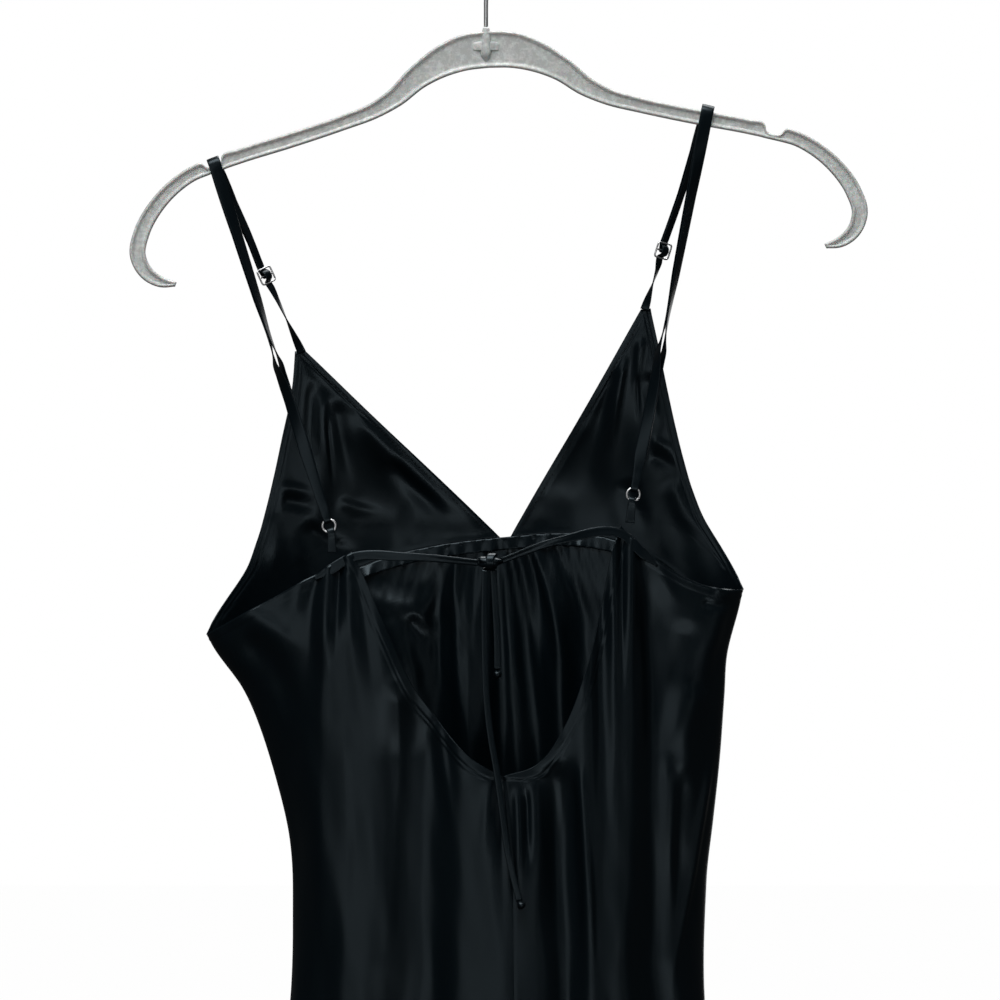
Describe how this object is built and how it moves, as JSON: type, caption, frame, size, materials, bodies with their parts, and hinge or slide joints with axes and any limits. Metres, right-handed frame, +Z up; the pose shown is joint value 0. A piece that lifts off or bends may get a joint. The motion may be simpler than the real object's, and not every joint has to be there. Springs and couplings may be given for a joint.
{
  "type": "slip dress on a hanger",
  "caption": "Black satin slip dress with triangular cups, narrow straps and a tied, open back, hung on a clear plastic hanger with a metal hook.",
  "frame": {"origin": "inside top of the hanger's hook, where a rail carries it", "axes": "+Z up, +X to the right of somebody looking at the dress's back, +Y from its back to its front"},
  "size_m": [0.4428, 0.1446, 1.2525],
  "materials": {
    "satin": "smooth satin with a soft sheen",
    "clear_plastic": "clear plastic with a fine frosting",
    "steel": "bright plated wire"
  },
  "bodies": {
    "root": {"hanger_body": "clear_plastic", "hanger_hook": "steel", "slider_left": "steel", "slider_right": "steel", "ring_left": "steel", "ring_right": "steel", "front_skirt": "satin", "cup_left": "satin", "cup_right": "satin", "back_left": "satin", "back_right": "satin", "strap_left": "satin", "strap_right": "satin", "ring_tab_left": "satin", "ring_tab_right": "satin", "tie_left": "satin", "tie_right": "satin", "tie_knot": "satin", "tie_end_short": "satin", "tie_end_knot_short": "satin", "tie_end_long": "satin", "tie_end_knot_long": "satin"}
  },
  "joints": []
}
